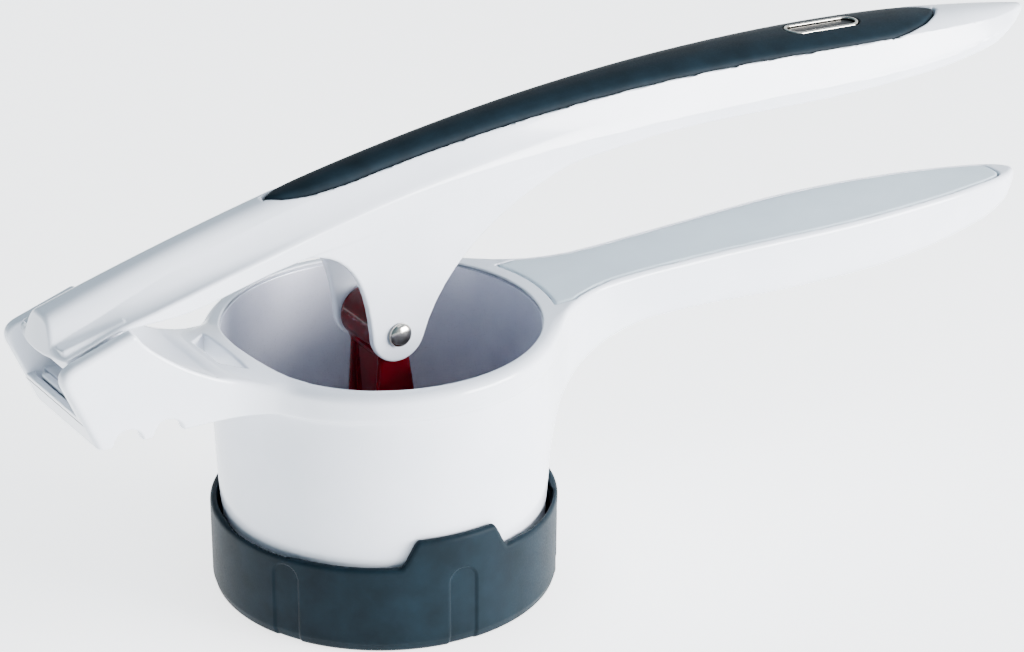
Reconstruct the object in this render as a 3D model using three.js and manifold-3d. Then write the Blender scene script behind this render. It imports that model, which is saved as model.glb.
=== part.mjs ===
// Hand potato ricer with a hinged press handle, a swinging plunger and a twist-off foot ring.
// Millimetres, +Z up, X along the handles. The origin is under the middle of the overall length,
// on the surface the ricer stands on. Inside the press group X = 0 is the chamber's own axis.
import * as THREE from 'three';
import { mergeVertices } from 'three/addons/utils/BufferGeometryUtils.js';
import Module from 'manifold-3d';

const wasm = await Module();
wasm.setup();

// ---- Driving dimensions ----
const CHAMBER_X = -53.9;            // chamber axis, measured from the middle of the overall length
const FIT = 0.3;                    // gap between touching pieces
const ROUND_STEPS = 60;             // sides of a large turned piece

const RIM_Z = 72.3;                 // top of the chamber
const RIM_INNER_R = 41.2;           // inside of the steel liner
const RIM_OUTER_R = 45.3;
const FLOOR_INNER_R = 40;           // the liner narrows slightly towards the floor
const LINER_THICK = 0.6;
const LINER_BOTTOM_Z = 5;
const LINER_TOP_Z = 71.1;           // the rim's inner lip covers the liner's top edge
const CHAMBER_BOTTOM_Z = 4.6;
const BAND_BOTTOM_Z = 65.2;         // underside of the thick band round the rim
const SKIRT_R = 42.3;               // chamber outside, where the foot ring covers it

const RING_TOP_Z = 24.1;
const RING_OUTER_R = 45.5;
const RING_INNER_R = 43.6;
const RING_FLANGE_Z = 2.4;          // thickness of the ring's inward flange
const RING_FLANGE_R = 37.5;
const TAB_TOP_Z = 31.4;
const TAB_ANGLE = -95;              // degrees from +X, on the near side
const ARCH_COUNT = 6;
const ARCH_ANGLE = -93.6;
const LUG_COUNT = 3;
const LUG_ANGLE = -122.5;           // first lug, degrees from +X
const LUG_WIDTH = 7;                // degrees
const LUG_Z = 17.4;
const LUG_HEIGHT = 2;
const LUG_R = 44.1;
const TWIST = 60;                   // degrees the ring turns to come free
const TWIST_DROP = 7.2;             // how far that turn lowers it

const DISC_R = 42;                  // perforated disc
const DISC_Z = RING_FLANGE_Z + FIT;
const DISC_THICK = 1.2;
const DISC_HOLE_R = 1.8;
const DISC_HOLE_STEP = 7.6;

const CHEEK_OUTER_Y = 17.8;         // hinge bracket
const CHEEK_INNER_Y = 13.9;
const NOTCH_R = 4;                  // pot-rest scallops
const NOTCH_X = [-81, -70];
const HINGE_X = -86;
const HINGE_Z = 86.5;
const HINGE_PIN_R = 2.5;
const END_LEAN = 0.44;              // the bracket's end leans in this much per millimetre downwards
const END_TOP_X = -97.2;
const END_TOP_Z = 84;
const RETAINER_TOP_Z = 76;          // low enough for the handle's hinge end to swing over it

const EAR_OUTER_Y = 10.7;           // the two ears that hold the plunger
const EAR_THICK = 2.4;
const EAR_R = 7.7;
const PLUNGER_PIN_X = -0.9;
const PLUNGER_PIN_Z = 72.8;
const PLUNGER_PIN_R = 2;
const PIN_HEAD_R = 3.2;

const BARREL_R = 7;
const PLUNGER_LENGTH = 68.4;        // pin axis to the plate's underside
const PLATE_R = 35.3;
const PLATE_THICK = 3;
const PLATE_OFFSET = -2;            // plate centre beyond the pin axis

const CROWN_APEX_X = 97;            // the upper handle's back is one long arc
const CROWN_APEX_Z = 127.6;
const CROWN_R = 605;
const NOSE_X = -96.8;               // hinge end of the upper handle
const UPPER_TIP_X = 205;
const UPPER_WALL = 2.4;
const GRIP_THICK = 2;
const GRIP_START_X = -33;
const GRIP_END_X = 174;
const BADGE_X = 136.4;
const BADGE_LENGTH = 23;
const BADGE_WIDTH = 7;

const LOWER_APEX_X = 110;           // the lower handle's top is a very flat arc
const LOWER_APEX_Z = 73.4;
const LOWER_R = 1950;
const LOWER_TIP_X = 205.2;
const LOWER_WALL = 2.4;
const COVER_THICK = 2;
const COVER_INSET = 2;
const COVER_ARC_R = 45.9;
const COVER_CORNER_Y = 14.6;

const rad = THREE.MathUtils.degToRad;

// ---- Solids ----

// A closed mesh with merged corners and its faces pointing out.
function solid(geometry) {
  const bare = geometry.clone();
  bare.deleteAttribute('normal');
  bare.deleteAttribute('uv');
  const merged = mergeVertices(bare, 1e-4);
  const vertProperties = new Float32Array(merged.attributes.position.array);
  const triVerts = new Uint32Array(merged.index.array);
  if (signedVolume(vertProperties, triVerts) < 0) triVerts.reverse();
  return new wasm.Manifold(new wasm.Mesh({ numProp: 3, vertProperties, triVerts }));
}

function signedVolume(points, triangles) {
  const corner = (i) => new THREE.Vector3().fromArray(points, 3 * triangles[i]);
  let volume = 0;
  for (let i = 0; i < triangles.length; i += 3) {
    volume += corner(i).dot(corner(i + 1).cross(corner(i + 2))) / 6;
  }
  return volume;
}

const join = (...parts) => parts.reduce((whole, part) => whole.add(part));
const cut = (whole, ...tools) => tools.reduce((rest, tool) => rest.subtract(tool), whole);

function box(x0, x1, y0, y1, z0, z1) {
  const shape = new THREE.BoxGeometry(x1 - x0, y1 - y0, z1 - z0);
  return solid(shape.translate((x0 + x1) / 2, (y0 + y1) / 2, (z0 + z1) / 2));
}

// A closed profile of [radius, height] points turned about the vertical axis.
function turned(profile, steps = ROUND_STEPS) {
  const points = profile.map(([r, z]) => new THREE.Vector2(r, z));
  return solid(new THREE.LatheGeometry(points, steps).rotateX(Math.PI / 2));
}

// An outline in X and Z, as thick as y0 to y1.
function sideways(shape, y0, y1, curveSegments = 8) {
  const options = { depth: y1 - y0, bevelEnabled: false, curveSegments };
  return solid(new THREE.ExtrudeGeometry(shape, options).rotateX(Math.PI / 2).translate(0, y1, 0));
}

// An outline in X and Y, as tall as z0 to z1.
function upright(shape, z0, z1, curveSegments = 8) {
  const options = { depth: z1 - z0, bevelEnabled: false, curveSegments };
  return solid(new THREE.ExtrudeGeometry(shape, options).translate(0, 0, z0));
}

function rod(x, z, radius, y0, y1, steps = 24) {
  const shape = new THREE.CylinderGeometry(radius, radius, y1 - y0, steps);
  return solid(shape.translate(x, (y0 + y1) / 2, z));
}

function polygon(points) {
  return new THREE.Shape(points.map(([a, b]) => new THREE.Vector2(a, b)));
}

// A skin through a row of closed outlines with equal numbers of points, closed at both ends.
function loft(outlines) {
  const size = outlines[0].length;
  const positions = [];
  const index = [];
  for (const outline of outlines) for (const point of outline) positions.push(...point);
  for (const end of [outlines[0], outlines.at(-1)]) {
    for (const axis of [0, 1, 2]) {
      positions.push(end.reduce((sum, point) => sum + point[axis], 0) / size);
    }
  }
  for (let i = 0; i + 1 < outlines.length; i++) {
    for (let j = 0; j < size; j++) {
      const next = (j + 1) % size;
      const [a, b] = [i * size + j, i * size + next];
      index.push(a, b, b + size, a, b + size, a + size);
    }
  }
  const first = outlines.length * size;
  const last = (outlines.length - 1) * size;
  for (let j = 0; j < size; j++) {
    const next = (j + 1) % size;
    index.push(next, j, first, last + j, last + next, first + 1);
  }
  const geometry = new THREE.BufferGeometry();
  geometry.setAttribute('position', new THREE.Float32BufferAttribute(positions, 3));
  geometry.setIndex(index);
  return solid(geometry);
}

// A smooth curve of value against X through a few chosen points.
function through(...points) {
  const slope = (i) => {
    const [a, b] = [points[Math.max(i - 1, 0)], points[Math.min(i + 1, points.length - 1)]];
    return (b[1] - a[1]) / (b[0] - a[0]);
  };
  return (x) => {
    const last = points.length - 2;
    let i = points.findIndex((point, n) => n <= last && x < points[n + 1][0]);
    if (i < 0) i = last;
    const [[x0, v0], [x1, v1]] = [points[i], points[i + 1]];
    const t = THREE.MathUtils.clamp((x - x0) / (x1 - x0), 0, 1);
    const [t2, t3, run] = [t * t, t * t * t, x1 - x0];
    return (2 * t3 - 3 * t2 + 1) * v0 + (t3 - 2 * t2 + t) * run * slope(i)
      + (3 * t2 - 2 * t3) * v1 + (t3 - t2) * run * slope(i + 1);
  };
}

function steps(from, to, count) {
  return Array.from({ length: count + 1 }, (_, i) => from + (to - from) * i / count);
}

// Half an outline, from the middle of the back down one side, mirrored to the other side.
function mirrored(x, half) {
  const other = half.slice(1).reverse().map(([y, z]) => [x, -y, z]);
  return [...half.map(([y, z]) => [x, y, z]), ...other];
}

// ---- Chamber body ----

const lowerTop = (x) => LOWER_APEX_Z - (x - LOWER_APEX_X) ** 2 / (2 * LOWER_R);
const lowerHalfWidth = through([30, 30], [38, 24.5], [45, 19.4], [53, 14.8], [65, 11.9], [95, 12.3],
  [138, 14.2], [170, 11.8], [190, 8], [200, 4.8], [LOWER_TIP_X, 1]);
const lowerDepth = through([30, 44], [38, 39], [45, 32.5], [53, 25.6], [65, 19.8], [80, 17.2], [125, 19],
  [160, 18.2], [190, 13.4], [200, 9], [LOWER_TIP_X, 3]);

// A flat top on a deep, round-bottomed side: the section of the lower handle.
function lowerSection(x, halfWidth, top, depth) {
  const power = 2 / 3.2;
  const half = [[0, top], [halfWidth - 0.8, top], [halfWidth, top - 0.8]];
  for (const angle of steps(15, 75, 4)) {
    const [c, s] = [Math.cos(rad(angle)) ** power, Math.sin(rad(angle)) ** power];
    half.push([halfWidth * c, top - 0.8 - (depth - 0.8) * s]);
  }
  half.push([0, top - depth]);
  const other = half.slice(1, -1).reverse().map(([y, z]) => [x, -y, z]);
  return [...half.map(([y, z]) => [x, y, z]), ...other];
}

function lowerHandleOutside() {
  const stations = [...steps(30, 60, 8), ...steps(67, 187, 10), ...steps(192, LOWER_TIP_X, 4)];
  return loft(stations.map((x) => lowerSection(x, lowerHalfWidth(x), lowerTop(x), lowerDepth(x))));
}

// The hollow inside the lower handle, open upwards into the cover's seat.
function lowerHandleHollow() {
  const stations = [...steps(49, 65, 4), ...steps(75, 185, 10), 192];
  return loft(stations.map((x) => {
    const side = lowerHalfWidth(x) - COVER_INSET - LOWER_WALL / 2;
    const depth = Math.max(lowerDepth(x) - LOWER_WALL, COVER_THICK + 2);
    const top = lowerTop(x) + 1;
    return lowerSection(x, Math.max(side, 1), top, Math.min(depth, 18) + 1);
  }));
}

// The cover's plan: a fishtail end round the rim, then the handle's outline drawn in.
function coverPlan(gap) {
  const arcEnd = Math.asin((COVER_CORNER_Y - gap) / COVER_ARC_R);
  const shape = new THREE.Shape();
  const radius = COVER_ARC_R + gap;
  const edge = (x) => Math.max(lowerHalfWidth(x) - COVER_INSET - gap, 0.4);
  const side = [52, 56, 61, 68, ...steps(78, 190, 9), 195, 198 - gap];
  shape.moveTo(radius * Math.cos(arcEnd), -radius * Math.sin(arcEnd));
  for (const x of side) shape.lineTo(x, -edge(x));
  for (const x of side.slice().reverse()) shape.lineTo(x, edge(x));
  shape.lineTo(radius * Math.cos(arcEnd), radius * Math.sin(arcEnd));
  shape.absarc(0, 0, radius, arcEnd, -arcEnd, true);
  return shape;
}

// A slab that follows the lower handle's flat arc, from below its top upwards.
function lowerSlab(below, above) {
  const stations = steps(40, LOWER_TIP_X, 16);
  return loft(stations.map((x) => {
    const [low, high] = [lowerTop(x) - below, lowerTop(x) + above];
    return [[x, -22, low], [x, 22, low], [x, 22, high], [x, -22, high]];
  }));
}

function chamberTube() {
  return turned([
    [FLOOR_INNER_R, CHAMBER_BOTTOM_Z], [SKIRT_R, CHAMBER_BOTTOM_Z], [SKIRT_R, RING_TOP_Z - 4],
    [43, 29], [43.8, 45], [44.1, BAND_BOTTOM_Z - 1], [44.7, BAND_BOTTOM_Z],
    [RIM_OUTER_R, 68.5], [RIM_OUTER_R, 70.6], [44.9, 71.8], [44, RIM_Z], [42, RIM_Z],
    [RIM_INNER_R, 71.5], [FLOOR_INNER_R, CHAMBER_BOTTOM_Z],
  ]);
}

// The bore leaves room for the liner, and closes in again to a lip above it.
function chamberBore() {
  const wall = LINER_THICK + FIT;
  return turned([[0, -5], [FLOOR_INNER_R + wall, -5], [FLOOR_INNER_R + wall, LINER_BOTTOM_Z],
    [RIM_INNER_R + wall, LINER_TOP_Z + FIT], [RIM_INNER_R + 0.1, LINER_TOP_Z + FIT + 0.1],
    [RIM_INNER_R + 0.2, RIM_Z - 0.3], [RIM_INNER_R + 0.7, RIM_Z + 12], [0, RIM_Z + 12]]);
}

function chamberLiner() {
  return turned([[FLOOR_INNER_R, LINER_BOTTOM_Z], [FLOOR_INNER_R + LINER_THICK, LINER_BOTTOM_Z],
    [RIM_INNER_R + LINER_THICK, LINER_TOP_Z], [RIM_INNER_R, LINER_TOP_Z],
    [FLOOR_INNER_R, LINER_BOTTOM_Z]]);
}

// Side view of the bracket: leaning end, rising cheek, sweep down to the rim, two scallops.
function bracketSide() {
  const shape = new THREE.Shape();
  const endBottom = END_TOP_X + END_LEAN * (END_TOP_Z - BAND_BOTTOM_Z - 1.5);
  shape.moveTo(endBottom + 1.5, BAND_BOTTOM_Z);
  shape.quadraticCurveTo(endBottom + 0.4, BAND_BOTTOM_Z, endBottom, BAND_BOTTOM_Z + 1.5);
  shape.lineTo(END_TOP_X, END_TOP_Z);
  shape.quadraticCurveTo(END_TOP_X - 0.8, 87.6, END_TOP_X + 2.6, 89);
  shape.lineTo(-79.4, 93.9);
  shape.quadraticCurveTo(-76.6, 94.6, -75.8, 91.9);
  shape.bezierCurveTo(-71, 86.5, -58, 77.6, -48, 77);
  shape.lineTo(-40, 76);
  shape.lineTo(RAISED_RIM_X, RIM_Z + 0.5);
  shape.lineTo(RAISED_RIM_X, BAND_BOTTOM_Z);
  for (const x of [...NOTCH_X].reverse()) shape.absarc(x, BAND_BOTTOM_Z, NOTCH_R, 0, Math.PI, false);
  return shape;
}

// Plan of the bracket: parallel cheeks that flare out into the band round the rim.
function bracketPlan() {
  const stations = steps(-60, -28, 10);
  const side = (sign) => [[-100, sign * CHEEK_OUTER_Y], ...stations.map((x) => [x, sign * bracketHalf(x)]),
    [-10, sign * 30]];
  return polygon([...side(-1), ...side(1).reverse()]);
}

// Top of the bracket: a valley between the cheeks that turns into a low crown where it meets the rim,
// so the rim rises a little towards the hinge.
const bracketHalf = through([-100, CHEEK_OUTER_Y], [-60, CHEEK_OUTER_Y], [-52, CHEEK_OUTER_Y + 0.5],
  [-44, CHEEK_OUTER_Y + 3.2], [-36, 26.2], [-28, 34.6], [-10, 44]);
const deckEdge = through([-78, 95.5], [-75.8, 91.4], [-69.5, 85.6], [-59.3, 78.7], [-50, 74.8], [-40, 72.4],
  [-36, RIM_Z], [-10, RIM_Z]);
const deckMiddle = through([-78, 86], [-70, 80.8], [-60, 77], [-50, 75.7], [-45, 75.4], [-41.2, 75],
  [-36, 74], [-30, 73.3], [-24, 72.7], [-18, RIM_Z], [-10, RIM_Z]);
const RAISED_RIM_X = -16;

function aboveDeck() {
  return loft(steps(-77.5, RAISED_RIM_X + 1, 22).map((x) => {
    const edge = bracketHalf(x) - 0.9;
    const across = steps(-1, 1, 10).map((t) => {
      const rise = (deckEdge(x) - deckMiddle(x)) * Math.abs(t) ** 2.4;
      return [x, t * edge, deckMiddle(x) + rise];
    });
    return [[x, -edge - 3, deckEdge(x)], ...across, [x, edge + 3, deckEdge(x)],
      [x, edge + 3, 110], [x, -edge - 3, 110]];
  }));
}

// The cradle between the cheeks, open at the top and at the end.
const CRADLE_FLOOR_Z = 75.4;
function cradle() {
  const above = polygon([[-104, END_TOP_Z - 9.3], [-90.4, END_TOP_Z - 9.3], [-90.4, CRADLE_FLOOR_Z],
    [-77.5, CRADLE_FLOOR_Z], [-77.5, 120], [-104, 120]]);
  return sideways(above, -CHEEK_INNER_Y, CHEEK_INNER_Y);
}

// Hollow underside of the bracket, closed above by the deck and the cradle's floor.
function bracketUnderside() {
  const ceiling = polygon([[-87.2, 60], [-87.2, CRADLE_FLOOR_Z - 2.4], [-79.5, CRADLE_FLOOR_Z - 2.4],
    [-72, 79], [-66, 75.4], [-57, 71.4], [-48, 69.6], [-40, 69.4], [-40, 60]]);
  const room = sideways(ceiling, 3.2 - CHEEK_OUTER_Y, CHEEK_OUTER_Y - 3.2);
  const keep = turned([[0, 50], [45, 50], [45, 90], [0, 90]]);
  return room.subtract(keep);
}

// The leaning slot behind the end wall that holds the hinge retainer.
function retainerPlate(gap) {
  const lean = (z) => END_TOP_X + END_LEAN * (END_TOP_Z - z);
  const [front, back] = [2.5 - gap, 4.7 + gap];
  const [low, high] = [67 - gap, RETAINER_TOP_Z + gap];
  const side = polygon([[lean(low) + front, low], [lean(low) + back, low],
    [lean(high) + back, high], [lean(high) + front, high]]);
  return sideways(side, -13.4 - gap, 13.4 + gap);
}

function deckSlot() {
  const shape = new THREE.Shape();
  const [near, far] = [-45.2, -50.3];
  shape.moveTo(near, -9.6);
  shape.lineTo(near, 9.6);
  shape.quadraticCurveTo(near - 0.2, 11.2, near - 2, 10.4);
  shape.lineTo(far, 7.4);
  shape.lineTo(far, -7.4);
  shape.lineTo(near - 2, -10.4);
  shape.quadraticCurveTo(near - 0.2, -11.2, near, -9.6);
  return upright(shape, 60, 90);
}

function chamberLug(angle) {
  const wedge = new THREE.Shape();
  const [from, to] = [rad(angle - LUG_WIDTH / 2), rad(angle + LUG_WIDTH / 2)];
  wedge.absarc(0, 0, LUG_R, from, to, false);
  wedge.absarc(0, 0, SKIRT_R - 0.8, to, from, true);
  return upright(wedge, LUG_Z, LUG_Z + LUG_HEIGHT, 4);
}

const lugAngles = steps(LUG_ANGLE, LUG_ANGLE + 360, LUG_COUNT).slice(0, -1);

function chamberBody() {
  const bracket = sideways(bracketSide(), -40, 40, 12).intersect(upright(bracketPlan(), 40, 120));
  const whole = join(chamberTube(), bracket, lowerHandleOutside(), ...lugAngles.map(chamberLug));
  const coverSeat = upright(coverPlan(-FIT), 50, 90).intersect(lowerSlab(COVER_THICK + FIT, 6));
  const farSocket = rod(HINGE_X, HINGE_Z, HINGE_PIN_R + FIT, -16.6, 20);
  const headSocket = rod(HINGE_X, HINGE_Z, 3.8 + FIT, 16.3, 20);
  const hollow = lowerHandleHollow().subtract(turned([[0, 0], [47.2, 0], [47.2, 100], [0, 100]]));
  return cut(whole, chamberBore(), aboveDeck(), cradle(), bracketUnderside(), retainerPlate(FIT),
    deckSlot(), coverSeat, hollow, farSocket, headSocket);
}

function lowerHandleCover() {
  return upright(coverPlan(0), 50, 90).intersect(lowerSlab(COVER_THICK, 0));
}

function hingeRetainer() {
  const corner = (side) => {
    const top = RETAINER_TOP_Z + 0.1;
    const shape = polygon([[side * 13.5, top], [side * 13.5, top - 2.8], [side * 10.7, top]]);
    const wedge = new THREE.ExtrudeGeometry(shape, { depth: 14, bevelEnabled: false });
    return solid(wedge.rotateX(Math.PI / 2).rotateZ(Math.PI / 2).translate(-98, 0, 0));
  };
  return cut(retainerPlate(0), corner(1), corner(-1));
}

// A pin along Y with a low dome on its far end.
function domedPin(x, z, radius, y0, y1, headRadius, headHeight) {
  const dome = [[0, y1 - y0 + headHeight]];
  for (const angle of steps(30, 90, 3)) {
    const [s, c] = [Math.sin(rad(angle)), Math.cos(rad(angle))];
    dome.push([headRadius * s, y1 - y0 + headHeight * c]);
  }
  const profile = [[0, 0], [radius, 0], [radius, y1 - y0], ...dome.reverse()];
  const points = profile.map(([r, along]) => new THREE.Vector2(r, along));
  return solid(new THREE.LatheGeometry(points, 24).translate(x, y0, z));
}

const hingePin = () => domedPin(HINGE_X, HINGE_Z, HINGE_PIN_R, -16.3, 16.6, 3.8, 1.1);

// ---- Upper handle ----

const tipLift = through([100, 0], [140, 0.3], [174, 1.2], [UPPER_TIP_X, 1.8]);
const crown = (x) => CROWN_APEX_Z - (x - CROWN_APEX_X) ** 2 / (2 * CROWN_R) + tipLift(x);
const crestHalfWidth = through([-98, 7.2], [-80, 6.7], [-60, 6], [-30, 5.8], [10, 6.4], [60, 8], [100, 9.6],
  [140, 11], [165, 9.8], [188, 6.6], [198, 3.9], [UPPER_TIP_X, 0.8]);
const crestDrop = through([-98, 4.6], [-60, 3.6], [-30, 3], [140, 3], [188, 2.2], [UPPER_TIP_X, 0.3]);
const upperHalfWidth = through([-98, 13.3], [-75, 13.2], [-45, 11.9], [-20, 10.9], [30, 10.8],
  [80, 11.8], [135, 13.6], [165, 12], [188, 8.2], [198, 5], [UPPER_TIP_X, 1]);
const creaseHeight = through([-98, 88.3], [-88.5, 91.2], [-80, 94.1], [-70, 96.2], [-40, 102.6], [5, 111.2],
  [50, 114.9], [110, 115.9], [165, 114.8], [190, 116.4], [UPPER_TIP_X, 119]);
const footHeight = through([-98, 87.3], [-88.5, 90.3], [-80, 93], [-60, 93.6], [-35, 98.4],
  [0, 102.6], [50, 108.4], [85, 111.3], [140, 110.9], [188, 112.4], [UPPER_TIP_X, 118.2]);
const scoop = through([-98, 0.95], [-70, 0.85], [-20, 0.35], [40, 0.1], [UPPER_TIP_X, 0]);

// Round crest, hollowed flank, upright skirt: one side of the upper handle's section.
function upperSection(x) {
  const [crest, drop, side] = [crestHalfWidth(x), crestDrop(x), upperHalfWidth(x)];
  const [top, crease, foot] = [crown(x), creaseHeight(x), footHeight(x)];
  const half = steps(0, 1, 4).map((t) => [crest * t, top - drop * t ** 2.5]);
  const bend = scoop(x);
  const middle = [(crest + side) / 2, (top - drop + crease) / 2];
  const pull = [THREE.MathUtils.lerp(middle[0], crest + 0.4, bend),
    THREE.MathUtils.lerp(middle[1], crease + 0.6, bend)];
  for (const t of [0.25, 0.5, 0.75]) {
    const weights = [(1 - t) ** 2, 2 * t * (1 - t), t * t];
    half.push([weights[0] * crest + weights[1] * pull[0] + weights[2] * side,
      weights[0] * (top - drop) + weights[1] * pull[1] + weights[2] * crease]);
  }
  half.push([side, crease], [side - 0.1, foot]);
  return mirrored(x, half);
}

function upperOutside() {
  const stations = [...steps(-98, -24, 9), ...steps(-10, 178, 13), ...steps(186, UPPER_TIP_X, 5)];
  return loft(stations.map(upperSection));
}

// The channel under the handle, open downwards.
function upperChannel() {
  const stations = [...steps(-66, -16, 4), ...steps(0, 176, 10), 190];
  return loft(stations.map((x) => {
    const side = upperHalfWidth(x) - UPPER_WALL;
    const crest = Math.min(crestHalfWidth(x) - 1.2, side - 1);
    const ceiling = crown(x) - crestDrop(x) - UPPER_WALL - GRIP_THICK;
    const shoulder = Math.min(creaseHeight(x) - 1.2, ceiling - 0.5);
    const half = [[0, ceiling], [crest, ceiling], [side, shoulder], [side, 60]];
    return mirrored(x, half);
  }));
}

// One ear in side view: it sweeps down out of the skirt and ends round the pin.
function earOutline() {
  const shape = new THREE.Shape();
  shape.moveTo(-27, 99.4);
  shape.bezierCurveTo(-12, 98.5, -9.5, 84, PLUNGER_PIN_X - EAR_R, PLUNGER_PIN_Z);
  shape.absarc(PLUNGER_PIN_X, PLUNGER_PIN_Z, EAR_R, Math.PI, rad(342), false);
  shape.bezierCurveTo(12, 88, 30, 104, 60, 110.4);
  shape.lineTo(60, 112);
  shape.lineTo(10, 107);
  return shape;
}

// The solid knuckle that turns between the cheeks.
function knuckle() {
  const shape = new THREE.Shape();
  shape.moveTo(-92.6, 84.4);
  shape.lineTo(-94.6, 91);
  shape.lineTo(-77.6, 95);
  shape.lineTo(HINGE_X + 6.5, HINGE_Z);
  shape.absarc(HINGE_X, HINGE_Z, 6.5, 0, rad(-110), true);
  return sideways(shape, -11.4, 11.4, 10);
}

// The badge's plan: a long bar with round ends.
function badgePlan(length, width) {
  const shape = new THREE.Shape();
  const reach = (length - width) / 2;
  shape.absarc(BADGE_X + reach, 0, width / 2, -Math.PI / 2, Math.PI / 2, false);
  shape.absarc(BADGE_X - reach, 0, width / 2, Math.PI / 2, 1.5 * Math.PI, false);
  return shape;
}

// A layer that follows the crown between two depths, as wide as the grip and pointed at both ends.
const gripHalfWidth = through([GRIP_START_X, 0.5], [-29, 2.9], [-20, 4.6], [10, 6.1], [60, 7.9],
  [100, 9.4], [135, 10.9], [152, 10.2], [165, 7], [171, 3.6], [GRIP_END_X, 0.5]);

function gripLayer(outer, inner, gap) {
  const stations = [GRIP_START_X - gap, ...steps(-29, -5, 3), ...steps(8, 148, 11),
    ...steps(154, 171, 4), GRIP_END_X + gap];
  return loft(stations.map((x) => {
    const half = Math.min(gripHalfWidth(x) + gap, crestHalfWidth(x));
    const skin = (t, depth) => {
      const share = Math.min(half * t / crestHalfWidth(x), 1);
      return [x, half * t, crown(x) - crestDrop(x) * Math.abs(share) ** 2.5 - depth];
    };
    const across = steps(-1, 1, 6);
    return [...across.map((t) => skin(t, outer)), ...across.reverse().map((t) => skin(t, inner))];
  }));
}

// Everything beyond the handle's hinge end, which is gently rounded in plan and leans back upwards.
function beyondNose() {
  return loft([60, 130].map((z) => {
    const face = steps(-30, 30, 16).map((y) => [NOSE_X + 0.2 * (z - 88.5) + y * y / 80, y, z]);
    return [...face, [-130, 30, z], [-130, -30, z]];
  }));
}

function upperHandle() {
  const ears = [-1, 1].map((side) => {
    const [inner, outer] = [side * (EAR_OUTER_Y - EAR_THICK), side * EAR_OUTER_Y];
    return sideways(earOutline(), Math.min(inner, outer), Math.max(inner, outer), 14);
  });
  const shell = cut(upperOutside(), upperChannel());
  return cut(join(shell, knuckle(), ...ears), beyondNose(), gripLayer(-4, GRIP_THICK + FIT, FIT),
    rod(HINGE_X, HINGE_Z, HINGE_PIN_R + FIT, -30, 30),
    rod(PLUNGER_PIN_X, PLUNGER_PIN_Z, PLUNGER_PIN_R + FIT, -30, 30));
}

function softGrip() {
  const recess = upright(badgePlan(BADGE_LENGTH + 2 * FIT, BADGE_WIDTH + 2 * FIT), 100, 140);
  return gripLayer(0, GRIP_THICK, 0).subtract(recess);
}

function badgeBezel() {
  const ring = upright(badgePlan(BADGE_LENGTH, BADGE_WIDTH), 100, 140)
    .subtract(upright(badgePlan(BADGE_LENGTH - 1.6, BADGE_WIDTH - 1.6), 90, 150));
  return ring.intersect(gripLayer(0.1, GRIP_THICK - 0.2, 0));
}

function badgePlate() {
  const bar = upright(badgePlan(BADGE_LENGTH - 1.6 - 2 * FIT, BADGE_WIDTH - 1.6 - 2 * FIT), 100, 140);
  return bar.intersect(gripLayer(0.7, GRIP_THICK - 0.2, 0));
}

// ---- Plunger ----

const EAR_INNER_Y = EAR_OUTER_Y - EAR_THICK;

function plunger() {
  const plateZ = PLUNGER_PIN_Z - PLUNGER_LENGTH;
  const plateX = PLUNGER_PIN_X + PLATE_OFFSET;
  const half = EAR_INNER_Y - FIT - 0.2;
  const plate = turned([[0, plateZ], [PLATE_R - 1, plateZ], [PLATE_R, plateZ + 0.8],
    [PLATE_R, plateZ + PLATE_THICK - 0.6], [PLATE_R - 0.6, plateZ + PLATE_THICK],
    [0, plateZ + PLATE_THICK]]);
  const stemSide = polygon([[-4.6, PLUNGER_PIN_Z], [-9.2, plateZ + 2], [12.4, plateZ + 2],
    [2.6, PLUNGER_PIN_Z]]);
  const stem = sideways(stemSide, -half, half);
  const pockets = [-1, 1].map((side) => {
    const [inner, outer] = [side * 1.3, side * 20];
    const pocket = box(Math.min(inner, outer), Math.max(inner, outer), 2.3 - half, half - 2.3,
      plateZ + PLATE_THICK, PLUNGER_PIN_Z - BARREL_R - 1);
    return pocket.translate([plateX, 0, 0]);
  });
  const gussets = steps(0, 180, 3).slice(0, -1).map((angle) => {
    const rib = polygon([[-30, plateZ + 2], [30, plateZ + 2], [10, plateZ + 9], [-10, plateZ + 9]]);
    return sideways(rib, -1, 1).rotate([0, 0, angle]);
  });
  const body = join(plate.translate([plateX, 0, 0]), cut(stem, ...pockets),
    join(...gussets).translate([plateX, 0, 0]), rod(PLUNGER_PIN_X, PLUNGER_PIN_Z, BARREL_R, -half, half, 32));
  return body.subtract(rod(PLUNGER_PIN_X, PLUNGER_PIN_Z, PLUNGER_PIN_R + FIT, -30, 30));
}

// Domed head outside the near ear; its shank ends in a socket in the far cap.
function plungerPin() {
  const length = 2 * EAR_OUTER_Y + FIT + 0.4;
  return domedPin(PLUNGER_PIN_X, PLUNGER_PIN_Z, PLUNGER_PIN_R, 0, length, PIN_HEAD_R, 1.7)
    .translate([0, -EAR_OUTER_Y - 0.4, 0]).mirror([0, 1, 0]);
}

function plungerPinCap() {
  const from = EAR_OUTER_Y + FIT;
  const cap = domedPin(PLUNGER_PIN_X, PLUNGER_PIN_Z, PIN_HEAD_R, from, from + 0.9, PIN_HEAD_R, 1.5);
  return cap.subtract(rod(PLUNGER_PIN_X, PLUNGER_PIN_Z, PLUNGER_PIN_R + FIT, from - 1, from + 0.8));
}

// ---- Foot ring and disc ----

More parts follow.
